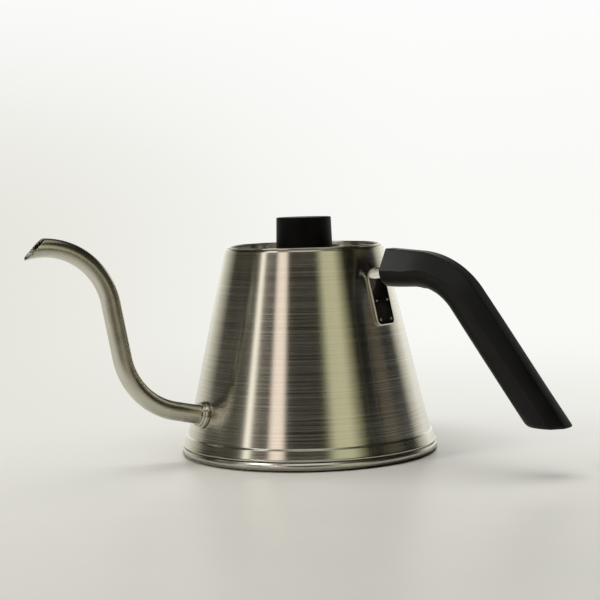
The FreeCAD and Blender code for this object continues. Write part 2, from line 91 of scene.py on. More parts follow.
# spout
SPOUT_AZIMUTH = -115.0
SPOUT_Z = 24.5
SPOUT_OD = 8.6
SPOUT_WALL = 0.7
SPOUT_STEPS = 64
SPOUT_ROOT = 2.0
SPOUT_FIRST_RUN = 16.0
SPOUT_LOW_R = 37.4
SPOUT_RISE_ANGLE = 80.0
SPOUT_RISE_RUN = 28.7
SPOUT_TOP_R = 35.6
SPOUT_TIP_ANGLE = -10.0
SPOUT_TIP_RUN = 8.0
TIP_CUT_LOW = (155.1, 110.6)
TIP_CUT_HIGH = (145.2, 119.7)
COLLAR_R = 7.4

# handle
GRIP_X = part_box("handle_grip")[0].x / MM
GRIP_Z = 100.5
GRIP_FALL = 4.0
GRIP_LEVEL_RUN = 18.3
GRIP_BEND_R = 38.4
GRIP_SLANT = 52.7
GRIP_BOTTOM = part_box("handle_grip")[0].z / MM
GRIP_ABOVE = 9.0
GRIP_BELOW = 9.4
GRIP_TOP_HALF = 3.9
GRIP_HALF_WIDTH = 10.6
STRAP_WIDTH = 15.0
# The strap is drawn thinner than the CAD bracket, 2.5 mm, and its hidden tongue shorter, 29 mm there.
STRAP_T = 1.6
TONGUE_DEPTH = 6.0
STRAP_BOTTOM = 69.6
STRAP_BEND_R = 5.25
TONGUE_DROP = 1.6
WELD_HEIGHTS = (72.6, 82.4)
WELD_OFFSET = 4.6
WELD_R = 0.6
WELD_RISE = 0.3

# lid
LID_R = 39.7
LID_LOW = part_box("lid_plate")[0].z / MM
LID_T = 0.9
VENT_R = 1.6
VENT_PLACE = 25.0
LID_STEP_R = 31.0
LID_STEP_H = 1.2
SKIRT_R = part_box("lid_skirt")[1].x / MM
SKIRT_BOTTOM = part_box("lid_skirt")[0].z / MM
SKIRT_T = 0.7
KNOB_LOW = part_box("lid_knob")[0].z / MM
KNOB_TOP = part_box("lid_knob")[1].z / MM
KNOB_TOP_R = 14.6
KNOB_BOTTOM_R = 15.1


# ---- modelling ----------------------------------------------------------------------------

def heading(angle):
    """Unit direction in the XZ plane, at an angle above +X in degrees."""
    return Vector((math.cos(math.radians(angle)), 0, math.sin(math.radians(angle))))


def rounded(corners, segments=5, support=0.25):
    """Profile of (x, z) points from corners (x, z, radius), with arcs and close support points."""
    places = [Vector(corner[:2]) for corner in corners]
    radii = [corner[2] if len(corner) > 2 else 0 for corner in corners]
    turns = []
    for i, here in enumerate(places):
        before = (places[i - 1] - here).normalized()
        after = (places[(i + 1) % len(places)] - here).normalized()
        half = max(before.angle(after) / 2, 1e-3)
        turns.append((before, after, half, radii[i] / math.tan(half)))
    points = []
    for i, here in enumerate(places):
        before, after, half, reach = turns[i]
        if not radii[i]:
            points.append(here)
            continue
        free = [(places[j] - here).length - reach - turns[j][3] for j in (i - 1, (i + 1) % len(places))]
        close = [min(support, 0.35 * max(room, 0)) for room in free]
        centre = here + (before + after).normalized() * (radii[i] / math.sin(half))
        start = here + before * reach - centre
        sweep = start.angle_signed(here + after * reach - centre)
        points.append(centre + start + before * close[0])
        points += [centre + Matrix.Rotation(-sweep * k / segments, 2) @ start for k in range(segments + 1)]
        points.append(here + after * (reach + close[1]))
    return [(p.x, p.y) for p in points]


def profile_mesh(points, closed=True):
    """New bmesh holding a profile of (radius, height) points in millimetres, in the XZ plane."""
    bm = bmesh.new()
    verts = [bm.verts.new((r * MM, 0, z * MM)) for r, z in points]
    pairs = list(zip(verts, verts[1:]))
    if closed:
        pairs.append((verts[-1], verts[0]))
    for pair in pairs:
        bm.edges.new(pair)
    return bm


def turned(points, closed=True, steps=ROUND_STEPS):
    """Bmesh turned about the upright axis from a profile of (radius, height) in millimetres."""
    bm = profile_mesh(points, closed)
    bmesh.ops.spin(bm, geom=bm.verts[:] + bm.edges[:], axis=UP, cent=(0, 0, 0), steps=steps,
                   angle=math.tau, use_merge=True)
    bmesh.ops.remove_doubles(bm, verts=bm.verts, dist=1e-7)
    bmesh.ops.recalc_face_normals(bm, faces=bm.faces)
    return bm


def piece(name, bm, body, nodes, material, sharp=32):
    """Makes a finished piece from a bmesh: smooth faces, sharp where they meet at a real edge."""
    for face in bm.faces:
        face.smooth = True
    mesh = bpy.data.meshes.new(name)
    bm.to_mesh(mesh)
    bm.free()
    mesh.set_sharp_from_angle(angle=math.radians(sharp))
    mesh.materials.append(material)
    obj = bpy.data.objects.new(name, mesh)
    bpy.context.scene.collection.objects.link(obj)
    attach(obj, body)
    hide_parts(*nodes)
    return obj


def cut_through(obj, place, radius, length):
    """Cuts a round hole through a piece, along the Z of a placement."""
    bm = bmesh.new()
    bmesh.ops.create_cone(bm, cap_ends=True, segments=48, radius1=radius * MM, radius2=radius * MM,
                          depth=length * MM, matrix=place)
    mesh = bpy.data.meshes.new("bar")
    bm.to_mesh(mesh)
    bm.free()
    bar = bpy.data.objects.new("bar", mesh)
    bpy.context.scene.collection.objects.link(bar)
    cut = obj.modifiers.new("hole", "BOOLEAN")
    cut.object = bar
    cut.operation = "DIFFERENCE"
    cut.solver = "EXACT"
    done = bpy.data.meshes.new_from_object(obj.evaluated_get(bpy.context.evaluated_depsgraph_get()))
    obj.modifiers.clear()
    obj.data = done
    bpy.data.objects.remove(bar)


def ramp(value, stops):
    """Smooth value between stops of (place, value)."""
    for (a, low), (b, high) in zip(stops, stops[1:]):
        if value <= b:
            t = max(0.0, (value - a) / (b - a))
            return low + (high - low) * (t * t * (3 - 2 * t))
    return stops[-1][1]


def to_spout(bm):
    """Turns a bmesh made in the XZ plane to the spout's own azimuth."""
    turn = Matrix.Rotation(math.radians(SPOUT_AZIMUTH), 3, "Z")
    bmesh.ops.rotate(bm, verts=bm.verts, cent=(0, 0, 0), matrix=turn)


def placement(point, direction):
    """Placement at a point, with its Z along a direction."""
    return Matrix.Translation(point) @ direction.to_track_quat("Z", "Y").to_matrix().to_4x4()


def cone_radius(z):
    """Outside radius of the body at a height, both in millimetres."""
    return CONE_R0 - CONE_SLOPE * z


def spout_start():
    """Where the spout's axis crosses the outside of the body, in the XZ plane, and its direction."""
    return Vector((cone_radius(SPOUT_Z), 0, SPOUT_Z)) * MM, heading(CONE_LEAN)


# ---- materials ----------------------------------------------------------------------------

def srgb(text):
    """Linear colour of an sRGB hex value."""
    parts = [int(text[i:i + 2], 16) / 255 for i in (0, 2, 4)]
    return [c / 12.92 if c <= 0.04045 else ((c + 0.055) / 1.055) ** 2.4 for c in parts] + [1.0]


def add(tree, kind, settings=None, links=None, **inputs):
    """Adds a node: settings are its properties, inputs its values, links {input: socket}."""
    node = tree.nodes.new(kind)
    for key, value in (settings or {}).items():
        setattr(node, key, value)
    for key, value in inputs.items():
        node.inputs[key.replace("_", " ")].default_value = value
    for key, source in (links or {}).items():
        tree.links.new(source, node.inputs[key])
    return node


def shader(name):
    """New material with an empty tree, its principled shader and its object coordinates."""
    material = bpy.data.materials.new(name)
    material.use_nodes = True
    tree = material.node_tree
    tree.nodes.clear()
    surface = tree.nodes.new("ShaderNodeBsdfPrincipled")
    add(tree, "ShaderNodeOutputMaterial", links={"Surface": surface.outputs[0]})
    place = tree.nodes.new("ShaderNodeTexCoord").outputs["Object"]
    return material, tree, surface, place


def spread(tree, value, low, high):
    """Maps a noise value, which mostly lies between 0.3 and 0.7, to a range."""
    node = add(tree, "ShaderNodeMapRange", {"clamp": True}, {"Value": value})
    for key, number in (("From Min", 0.3), ("From Max", 0.7), ("To Min", low), ("To Max", high)):
        node.inputs[key].default_value = number
    return node.outputs[0]


def noise(tree, place, scale, detail=2.0, stretch=(1, 1, 1)):
    """Noise with a number of grains per metre, drawn out along an axis where stretch is small."""
    mapping = add(tree, "ShaderNodeMapping", links={"Vector": place}, Scale=[scale * s for s in stretch])
    texture = add(tree, "ShaderNodeTexNoise", {}, {"Vector": mapping.outputs[0]}, Scale=1.0, Detail=detail)
    return texture.outputs[0]


def blend(tree, factor, first, second):
    """Colour between two hex values, by a factor socket."""
    node = add(tree, "ShaderNodeMix", {"data_type": "RGBA"}, {0: factor})
    node.inputs[6].default_value = srgb(first)
    node.inputs[7].default_value = srgb(second)
    return node.outputs[2]


def round_tangent(tree, place):
    """Direction round the upright axis at each point, which brushing on a lathe follows."""
    parts = add(tree, "ShaderNodeSeparateXYZ", links={"Vector": place})
    back = add(tree, "ShaderNodeMath", {"operation": "MULTIPLY"}, {0: parts.outputs[1]})
    back.inputs[1].default_value = -1.0
    joined = add(tree, "ShaderNodeCombineXYZ", links={"X": back.outputs[0], "Y": parts.outputs[0]})
    return add(tree, "ShaderNodeVectorMath", {"operation": "NORMALIZE"}, {0: joined.outputs[0]}).outputs[0]


def brushed_304_body():
    """304 stainless steel, brushed on a lathe with fine grit. The lines run round the body, so lights
    and dark walls are drawn out up and down it and stay sharp across it. Such lines are about
    0.15 mm apart and are drawn 0.45 mm apart, so that they show."""
    material, tree, surface, place = shader("brushed_304_body")
    lines = noise(tree, place, 1 / (0.45 * MM), 2.0, (0.006, 0.006, 1))
    broad = noise(tree, place, 1 / (2.2 * MM), 2.0, (0.003, 0.003, 1))
    joined = add(tree, "ShaderNodeMath", {"operation": "MULTIPLY_ADD"}, {0: broad, 2: lines})
    joined.inputs[1].default_value = 0.03
    tree.links.new(blend(tree, spread(tree, lines, 0, 1), "c4c1b4", "d4d2c7"), surface.inputs["Base Color"])
    tree.links.new(spread(tree, lines, 0.17, 0.25), surface.inputs["Roughness"])
    bump = add(tree, "ShaderNodeBump", {}, {"Height": joined.outputs[0]}, Strength=0.5, Distance=0.0009 * MM)
    tree.links.new(bump.outputs[0], surface.inputs["Normal"])
    tree.links.new(round_tangent(tree, place), surface.inputs["Tangent"])
    surface.inputs["Metallic"].default_value = 1.0
    surface.inputs["Anisotropic"].default_value = 0.85
    surface.inputs["Anisotropic Rotation"].default_value = 0.25
    return material


def steel(name, low, high, rough, grain_mm, depth_mm):
    """Metal with a fine even grain: two tones, a range of roughness, and the grain's size and depth."""
    material, tree, surface, place = shader(name)
    grain = noise(tree, place, 1 / (grain_mm * MM), 3.0)
    mottle = noise(tree, place, 1 / (9 * MM), 2.0)
    tree.links.new(blend(tree, spread(tree, mottle, 0, 1), low, high), surface.inputs["Base Color"])
    tree.links.new(spread(tree, mottle, rough[0], rough[1]), surface.inputs["Roughness"])
    bump = add(tree, "ShaderNodeBump", {}, {"Height": grain}, Strength=0.5, Distance=depth_mm * MM)
    tree.links.new(bump.outputs[0], surface.inputs["Normal"])
    surface.inputs["Metallic"].default_value = 1.0
    return material


def moulded(name, low, high, rough, grain_mm, depth_mm, shine):
    """Moulded plastic with a fine spark grain that breaks up the light."""
    material, tree, surface, place = shader(name)
    grain = noise(tree, place, 1 / (grain_mm * MM), 2.0)
    mottle = noise(tree, place, 1 / (14 * MM), 3.0)
    tree.links.new(blend(tree, spread(tree, mottle, 0, 1), low, high), surface.inputs["Base Color"])
    tree.links.new(spread(tree, mottle, rough[0], rough[1]), surface.inputs["Roughness"])
    bump = add(tree, "ShaderNodeBump", {}, {"Height": grain}, Strength=0.6, Distance=depth_mm * MM)
    tree.links.new(bump.outputs[0], surface.inputs["Normal"])
    surface.inputs["IOR"].default_value = 1.5
    surface.inputs["Specular IOR Level"].default_value = shine
    return material


BODY_STEEL = brushed_304_body()
TUBE_STEEL = steel("satin_304_tube", "c2bfb2", "cbc8bc", (0.22, 0.28), 0.5, 0.0003)
POLISHED_STEEL = steel("polished_304", "cfccc2", "d6d4cc", (0.08, 0.14), 0.6, 0.0004)
BASE_STEEL = steel("turned_304_foot", "c2bfb6", "cac7bf", (0.22, 0.28), 0.4, 0.0003)
LID_STEEL = steel("brushed_304_lid", "c8c6be", "cfcdc6", (0.20, 0.28), 0.3, 0.004)
SCREW_STEEL = steel("a2_screw_steel", "b8b5ac", "c4c1b8", (0.25, 0.35), 0.3, 0.004)
BRAZE = steel("silver_braze", "a89f88", "b4ab94", (0.40, 0.55), 0.4, 0.02)
ALUMINIUM = steel("pressed_aluminium", "d6d7d8", "dedfe0", (0.30, 0.42), 0.5, 0.01)
BRASS = steel("turned_brass", "c9a25a", "d4ae66", (0.22, 0.32), 0.3, 0.004)
GRIP_RESIN = moulded("moulded_pa66_grip", "060606", "0a0a09", (0.38, 0.46), 0.35, 0.015, 0.26)
KNOB_RESIN = moulded("moulded_phenolic_knob", "060606", "0a0a09", (0.50, 0.58), 0.35, 0.02, 0.12)

CAD_FINISHES = {
    "heat_spreader": ALUMINIUM,
    "spout_braze_ring": BRAZE,
    "handle_screws": SCREW_STEEL,
    "handle_washers": SCREW_STEEL,
    "knob_insert": BRASS,
    "knob_screw": SCREW_STEEL,
    "knob_lock_washer": SCREW_STEEL,
    "knob_washer": SCREW_STEEL,
    "knob_spacer": POLISHED_STEEL,
}


# ---- body ---------------------------------------------------------------------------------

def body_shell():
    """Cone with a rounded shoulder, a soft step above the foot band, and a thin flange."""
    inner = WALL * math.hypot(1, CONE_SLOPE)
    edge_r = MOUTH_R + WALL
    corners = [
        (edge_r + 0.1, BODY_TOP - 0.1),
        (cone_radius(SHOULDER_Z) + 0.42, BODY_TOP - 0.1, 1.3),
        (cone_radius(HOLE_HIGH_Z), HOLE_HIGH_Z),
        (cone_radius(HOLE_LOW_Z), HOLE_LOW_Z),
        (cone_radius(STEP_Z), STEP_Z, 0.8),
        (BAND_HIGH_R, STEP_Z - 0.45, 0.7),
        (BAND_LOW_R, FLANGE_Z + 0.85, 0.3),
        (FLANGE_R, FLANGE_Z + 0.8, 0.3),
        (FLANGE_R, FLANGE_Z, 0.3),
        (BAND_R - 1.5, FLANGE_Z),
        (BAND_R - 1.5, STEP_Z - 1.2),
        (cone_radius(STEP_Z) - inner, STEP_Z - 0.6),
        (cone_radius(HOLE_LOW_Z) - inner, HOLE_LOW_Z),
        (cone_radius(HOLE_HIGH_Z) - inner, HOLE_HIGH_Z),
        (cone_radius(SHOULDER_Z) - inner, SHOULDER_Z),
        (edge_r + 0.1, SHOULDER_Z + 0.4),
    ]
    cone = piece("body_cone", turned(rounded(corners)), "kettle", ["body_shell"], BODY_STEEL)
    wall_point, along = spout_start()
    turn = Matrix.Rotation(math.radians(SPOUT_AZIMUTH), 4, "Z")
    cut_through(cone, turn @ placement(wall_point, along), SPOUT_OD / 2, 12)
    return cone


def mouth_ring():
    """Rolled rim, collar, the ledge that carries the lid, and the lip round the hole."""
    outer = MOUTH_R + WALL
    corners = [
        (MOUTH_R - 0.15, RIM_TOP, 0.55),
        (MOUTH_R - 0.15, RIM_TOP - 1.1, 0.1),
        (MOUTH_R, RIM_TOP - 1.4, 0.1),
        (MOUTH_R, SEAT_Z, 0.3),
        (SEAT_HOLE_R, SEAT_Z, 0.5),
        (SEAT_HOLE_R, LIP_BOTTOM),
        (SEAT_HOLE_R + WALL, LIP_BOTTOM),
        (SEAT_HOLE_R + WALL, SEAT_Z - WALL),
        (outer, SEAT_Z - WALL, 0.6),
        (outer, RIM_TOP - 0.95, 0.1),
        (outer + 0.35, RIM_TOP - 0.95, 0.35),
        (outer + 0.35, RIM_TOP, 0.5),
    ]
    return piece("rolled_rim", turned(rounded(corners, support=0.05)), "kettle", ["mouth_ring"],
                 POLISHED_STEEL)


def foot():
    """Folded ring round the bottom, and the pan inside the body."""
    top_r = BAND_R - 1.4
    inner_r = FOOT_R - FOOT_WIDTH
    corners = [
        (0, FLANGE_Z),
        (top_r, FLANGE_Z),
        (top_r, FOOT_TOP - 0.9),
        (FOOT_R - 0.6, FOOT_TOP - 0.9, 0.3),
        (FOOT_R + 0.25, 2.7, 3.0),
        (FOOT_R - 0.5, FOOT_BOTTOM + 0.95, 0.35),
        (FOOT_R - 2.4, FOOT_BOTTOM + 0.2, 0.3),
        (inner_r, FOOT_BOTTOM, 0.4),
        (inner_r, FLANGE_Z - 1.0),
        (0, FLANGE_Z - 1.0),
    ]
    return piece("foot_ring", turned(rounded(corners), closed=False), "kettle", ["base_pan"],
                 BASE_STEEL)


def cap():
    """Dish under the foot, which the kettle stands on."""
    corners = [
        (0, 0),
        (CAP_R, 0, 1.5),
        (CAP_R, CAP_TOP),
        (CAP_R - 0.8, CAP_TOP),
        (CAP_R - 0.8, 0.8, 0.7),
        (0, 0.8),
    ]
    return piece("base_dish", turned(rounded(corners), closed=False), "kettle", ["base_cap"],
                 BASE_STEEL)


# ---- spout --------------------------------------------------------------------------------

def run(bm, ring, direction, length, steps=6):
    """Draws a ring of edges straight on, and returns the new ring."""
    for _ in range(steps):
        made = bmesh.ops.extrude_edge_only(bm, edges=ring)["geom"]
        ring = [g for g in made if isinstance(g, bmesh.types.BMEdge)]
        verts = [g for g in made if isinstance(g, bmesh.types.BMVert)]
        bmesh.ops.translate(bm, verts=verts, vec=direction * (length * MM / steps))
    return ring


def bend(bm, ring, here, from_angle, to_angle, radius, steps):
    """Bends a ring of edges on round an arc in the XZ plane, and returns the new ring and place."""
    side = 1 if to_angle > from_angle else -1
    centre = here + heading(from_angle + 90 * side) * (radius * MM)
    made = bmesh.ops.spin(bm, geom=ring, cent=centre, axis=ACROSS * -1,
                          angle=math.radians(to_angle - from_angle), steps=steps)["geom_last"]
    ring = [g for g in made if isinstance(g, bmesh.types.BMEdge)]
    return ring, centre - heading(to_angle + 90 * side) * (radius * MM)


def taper(bm, count, stops):
    """Draws a tube in along its length. Its rings of vertices follow one another in the mesh."""
    verts = bm.verts[:]
    for i in range(0, len(verts), count):
        ring = verts[i:i + count]
        centre = sum((v.co for v in ring), Vector()) / count
        share = ramp(i / count, stops)
        for vert in ring:
            vert.co = centre + (vert.co - centre) * share


def spout():
    """Bent tube with a slanted mouth."""
    wall_point, along = spout_start()
    here = wall_point - along * (SPOUT_ROOT * MM)
    bm = bmesh.new()
    bmesh.ops.create_circle(bm, segments=SPOUT_STEPS, radius=SPOUT_OD / 2 * MM,
                            matrix=placement(here, along))
    ring = bm.edges[:]
    ring = run(bm, ring, along, SPOUT_ROOT + SPOUT_FIRST_RUN)
    here += along * ((SPOUT_ROOT + SPOUT_FIRST_RUN) * MM)
    ring, here = bend(bm, ring, here, CONE_LEAN, SPOUT_RISE_ANGLE, SPOUT_LOW_R, 40)
    ring = run(bm, ring, heading(SPOUT_RISE_ANGLE), SPOUT_RISE_RUN)
    here += heading(SPOUT_RISE_ANGLE) * (SPOUT_RISE_RUN * MM)
    ring, here = bend(bm, ring, here, SPOUT_RISE_ANGLE, SPOUT_TIP_ANGLE, SPOUT_TOP_R, 56)
    run(bm, ring, heading(SPOUT_TIP_ANGLE), SPOUT_TIP_RUN)
    taper(bm, SPOUT_STEPS, [(52, 1.0), (110, 0.94)])
    low = Vector((TIP_CUT_LOW[0], 0, TIP_CUT_LOW[1])) * MM
    high = Vector((TIP_CUT_HIGH[0], 0, TIP_CUT_HIGH[1])) * MM
    outward = (high - low).cross(ACROSS).normalized()
    if outward.x < 0:
        outward.negate()
    bmesh.ops.bisect_plane(bm, geom=bm.verts[:] + bm.edges[:] + bm.faces[:], plane_co=low,
                           plane_no=outward, clear_outer=True)
    bmesh.ops.recalc_face_normals(bm, faces=bm.faces)
    to_spout(bm)
    tube = piece("spout_pipe", bm, "kettle", ["spout_tube"], TUBE_STEEL)
    wall = tube.modifiers.new("wall", "SOLIDIFY")
    wall.thickness = SPOUT_WALL * MM
    wall.offset = -1
    wall.use_even_offset = True
    return tube


def collar():
    """Polished ring with two beads where the spout meets the body."""
    corners = [
        (SPOUT_OD / 2, -0.9),
        (COLLAR_R - 0.8, -0.9),
        (COLLAR_R - 0.8, 0.4, 0.1),
        (COLLAR_R, 0.4, 0.4),
        (COLLAR_R, 1.6, 0.5),
        (COLLAR_R - 1.2, 1.7, 0.1),
        (COLLAR_R - 0.8, 1.9, 0.35),
        (COLLAR_R - 0.8, 2.9, 0.45),
        (COLLAR_R - 1.9, 2.95, 0.3),
        (SPOUT_OD / 2, 3.0),
    ]
    bm = turned(rounded(corners, support=0.03), steps=96)
    wall_point, along = spout_start()
    bmesh.ops.transform(bm, matrix=placement(wall_point, along), verts=bm.verts)
    to_spout(bm)
    return piece("spout_collar_ring", bm, "kettle", ["spout_collar"], POLISHED_STEEL)


# ---- handle -------------------------------------------------------------------------------

def grip_point(run_mm, rise_mm):
    """Point of the grip's level part: a run along its axis, and a rise square to it."""
    start = Vector((GRIP_X, 0, GRIP_Z))
    return (start + heading(-GRIP_FALL) * run_mm + heading(90 - GRIP_FALL) * rise_mm) * MM


def grip_section(out, along):
    """Half-round bar with a flat top and two facets, whose ridges climb and soften towards the foot."""
    ridge = ramp(out, [(55, -2.0), (66, -1.4), (85, 1.4), (107, 3.6), (140, 4.3)])
    soften = ramp(out, [(80, 0.0), (150, 0.75)])
    above = ramp(along, [(60, GRIP_ABOVE), (115, GRIP_ABOVE - 0.5)])
    below = ramp(along, [(0, 10.7), (26, 9.0), (70, GRIP_BELOW)])
    corners = [(GRIP_TOP_HALF, above, 0.7), (GRIP_HALF_WIDTH, ridge, 0.5)]
    for angle in (12, 25, 38, 50, 62, 74, 82):
        a = math.radians(angle)
        corners.append((GRIP_HALF_WIDTH * math.cos(a), ridge - (below + ridge) * math.sin(a)))
    side = rounded([(0, above)] + corners + [(0, -below)], segments=4, support=0.2)
    points = []
    for y, rise in side:
        tall = above if rise > 0 else below
        angle = math.atan2(rise / tall, y / GRIP_HALF_WIDTH)
        c, s = math.cos(angle), math.sin(angle)
        reach = (abs(c) ** 2.3 + abs(s) ** 2.3) ** (-1 / 2.3)
        smooth = Vector((GRIP_HALF_WIDTH * c * reach, tall * s * reach))
        points.append(Vector((y, rise)).lerp(smooth, soften))
    return points + [Vector((-p.x, p.y)) for p in reversed(points[1:-1])]


def grip_stations():
    """Places along the grip's axis: point, angle, length so far, and how far the section leans over
    to lie in the upright end face (first) or the level cut at the foot (last)."""
    stations = []
    for k in range(9):
        t = GRIP_LEVEL_RUN * k / 8
        stations.append((grip_point(t, 0), -GRIP_FALL, t, 1 - k / 8, 0))
    centre = grip_point(GRIP_LEVEL_RUN, -GRIP_BEND_R)
    steps = 24
    for k in range(1, steps + 1):
        angle = -GRIP_FALL + (GRIP_FALL - GRIP_SLANT) * k / steps
        length = GRIP_LEVEL_RUN + GRIP_BEND_R * math.radians(-GRIP_FALL - angle)
        stations.append((centre + heading(angle + 90) * (GRIP_BEND_R * MM), angle, length, 0, 0))
    last, _, length = stations[-1][:3]
    drop = (last.z / MM - GRIP_BOTTOM) / math.sin(math.radians(GRIP_SLANT))
    for k in range(1, 15):
        place = last + heading(-GRIP_SLANT) * (drop * k / 14 * MM)
        stations.append((place, -GRIP_SLANT, length + drop * k / 14, 0, k / 14))
    return stations


def shape_ring(verts, station):
    """Moves a ring of vertices to the grip's section at a place along it."""
    place, angle, length, upright, level = station
    rise = heading(angle + 90)
    along = heading(angle)
    for vert, point in zip(verts, grip_section(place.x / MM, length)):
        slide = -point.y * rise.x / along.x * upright - point.y * rise.z / along.z * level
        vert.co = place + (ACROSS * point.x + rise * point.y + along * slide) * MM


def close_end(bm, ring, width):
    """Closes the open end of a bar and rounds the new edge."""
    bmesh.ops.contextual_create(bm, geom=ring)
    bmesh.ops.recalc_face_normals(bm, faces=bm.faces)
    bmesh.ops.bevel(bm, geom=ring, offset=width * MM, offset_type="OFFSET", affect="EDGES", segments=5,
                    profile=0.5, material=-1)


def grip():
    """Moulded grip: a level run, a bend and a long slant that ends in a level cut."""
    bm = bmesh.new()
    stations = grip_stations()
    verts = [bm.verts.new((0, 0, 0)) for _ in grip_section(GRIP_X, 0)]
    ring = [bm.edges.new(pair) for pair in zip(verts, verts[1:] + verts[:1])]
    shape_ring(verts, stations[0])
    first = ring[:]
    for station in stations[1:]:
        made = bmesh.ops.extrude_edge_only(bm, edges=ring)["geom"]
        fresh = [g for g in made if isinstance(g, bmesh.types.BMVert)]
        ring = [g for g in made if isinstance(g, bmesh.types.BMEdge)]
        ring = [e for e in ring if all(v in fresh for v in e.verts)]
        verts = [next(e.other_vert(v) for e in v.link_edges if e.other_vert(v) in fresh) for v in verts]
        shape_ring(verts, station)
    close_end(bm, ring, 2.0)
    close_end(bm, first, 0.4)
    return piece("grip_bar", bm, "kettle", ["handle_grip"], GRIP_RESIN)


def strap_frame():
    """Foot of the strap's middle line on the wall, and the corner where it turns into the grip."""
    lift = STRAP_T / 2 * math.hypot(1, CONE_SLOPE)
    foot_point = Vector((cone_radius(STRAP_BOTTOM) + lift, 0, STRAP_BOTTOM)) * MM
    tongue = grip_point(0, -TONGUE_DROP) / MM
    fall = math.tan(math.radians(GRIP_FALL))
    z = (tongue.z - fall * (CONE_R0 + lift - tongue.x)) / (1 - fall * CONE_SLOPE)
    return foot_point, Vector((cone_radius(z) + lift, 0, z)) * MM


def strap():
    """Polished steel strap, flat on the wall and bent out a little way into the grip."""
    foot_point, corner = strap_frame()
    up_angle = 90 + CONE_LEAN
    reach = STRAP_BEND_R * math.tan(math.radians(up_angle + GRIP_FALL) / 2)
    out = heading(CONE_LEAN)
    bm = bmesh.new()
    ends = [bm.verts.new(foot_point + out * (side * STRAP_T / 2 * MM)) for side in (-1, 1)]
    ring = [bm.edges.new(ends)]
    leg = (corner - foot_point).length / MM - reach
    ring = run(bm, ring, heading(up_angle), leg, 4)
    here = foot_point + heading(up_angle) * (leg * MM)
    ring, here = bend(bm, ring, here, up_angle, -GRIP_FALL, STRAP_BEND_R, 10)
    run(bm, ring, heading(-GRIP_FALL), TONGUE_DEPTH, 2)
    half = STRAP_WIDTH / 2 * MM
    bmesh.ops.translate(bm, verts=bm.verts, vec=(0, -half, 0))
    made = bmesh.ops.extrude_face_region(bm, geom=bm.faces[:])["geom"]
    far_side = [g for g in made if isinstance(g, bmesh.types.BMVert)]
    bmesh.ops.translate(bm, verts=far_side, vec=(0, 2 * half, 0))
    bmesh.ops.recalc_face_normals(bm, faces=bm.faces)
    low = foot_point.z + 0.6 * MM
    feet = [e for e in bm.edges if max(v.co.z for v in e.verts) < low
            and abs(e.verts[0].co.y - e.verts[1].co.y) < 1e-6]
    bmesh.ops.bevel(bm, geom=feet, offset=3.0 * MM, offset_type="OFFSET", affect="EDGES", segments=8,
                    profile=0.5, material=-1)
    borders = [e for e in bm.edges if len(e.link_faces) == 2 and e.calc_face_angle() > math.radians(60)]
    bmesh.ops.bevel(bm, geom=borders, offset=0.45 * MM, offset_type="OFFSET", affect="EDGES", segments=3,
                    profile=0.5, material=-1)
    sheet = [f for f in bm.faces if f.calc_area() > 5 * MM * MM]
    bmesh.ops.inset_region(bm, faces=sheet, thickness=0.25 * MM, use_even_offset=True)
    return piece("handle_strap", bm, "kettle", ["handle_bracket"], POLISHED_STEEL)


def welds():
    """Four small round spot welds that stand just proud of the strap."""
    foot_point, _ = strap_frame()
    up = heading(90 + CONE_LEAN)
    out = heading(CONE_LEAN)
    joined = bmesh.new()
    for z in WELD_HEIGHTS:
        for side in (-1, 1):
            place = foot_point + up * ((z - STRAP_BOTTOM) / up.z * MM) + ACROSS * (side * WELD_OFFSET * MM)
            place += out * ((STRAP_T / 2 - 0.1) * MM)
            corners = [(0, 0), (WELD_R, 0), (WELD_R, 0.22, 0.15), (0, WELD_RISE)]
            dome = turned(rounded(corners, support=0.05), False, 24)
            bmesh.ops.transform(dome, matrix=placement(place, out), verts=dome.verts)
            part = bpy.data.meshes.new("weld")
            dome.to_mesh(part)
            dome.free()
            joined.from_mesh(part)
            bpy.data.meshes.remove(part)
    return piece("strap_welds", joined, "kettle", ["bracket_spot_welds"], POLISHED_STEEL)


# ---- lid ----------------------------------------------------------------------------------

def lid_plate():
    """Lid disc with a raised middle and a rounded edge."""
    low = LID_LOW
    raised = low + LID_STEP_H
    corners = [
        (2.0, raised),
        (LID_STEP_R - 1.2, raised, 0.8),
        (LID_STEP_R + 0.6, low, 0.4),
        (LID_R, low, 0.42),
        (LID_R, low + LID_T, 0.42),
        (LID_STEP_R + 0.8, low + LID_T, 0.6),
        (LID_STEP_R - 1.0, raised + LID_T, 0.8),
        (2.0, raised + LID_T),
    ]
    disc = piece("lid_disc", turned(rounded(corners, support=0.04)), "lid", ["lid_plate"],
                 LID_STEEL)
    cut_through(disc, Matrix.Translation((-VENT_PLACE * MM, 0, low * MM)), VENT_R, 8)
    return disc


def lid_skirt():
    """Ring under the lid that centres it in the seat."""
    corners = [
        (SKIRT_R, LID_LOW),
        (SKIRT_R, SKIRT_BOTTOM, 0.3),
        (SKIRT_R - SKIRT_T, SKIRT_BOTTOM, 0.3),
        (SKIRT_R - SKIRT_T, LID_LOW),
    ]
    return piece("lid_skirt_ring", turned(rounded(corners, support=0.04)), "lid", ["lid_skirt"],
                 LID_STEEL)


def knob():
    """Moulded knob, a little wider at the bottom."""
    corners = [
        (0, KNOB_LOW),
        (KNOB_BOTTOM_R, KNOB_LOW, 0.5),
        (KNOB_TOP_R, KNOB_TOP, 0.45),
        (0, KNOB_TOP),
    ]
    return piece("knob_cap", turned(rounded(corners), closed=False, steps=160), "lid", ["lid_knob"],
                 KNOB_RESIN)


# ---- set ----------------------------------------------------------------------------------

# The camera stands to the front right, a little above the kettle, and looks slightly down.
CAMERA_AZIMUTH = 38.0
CAMERA_DISTANCE = 0.85153
CAMERA_SIDE = -0.003117
CAMERA_HEIGHT = 0.147956
CAMERA_DOWN = 4.479
CAMERA_ROLL = -1.584
CAMERA_LENS = 95.3


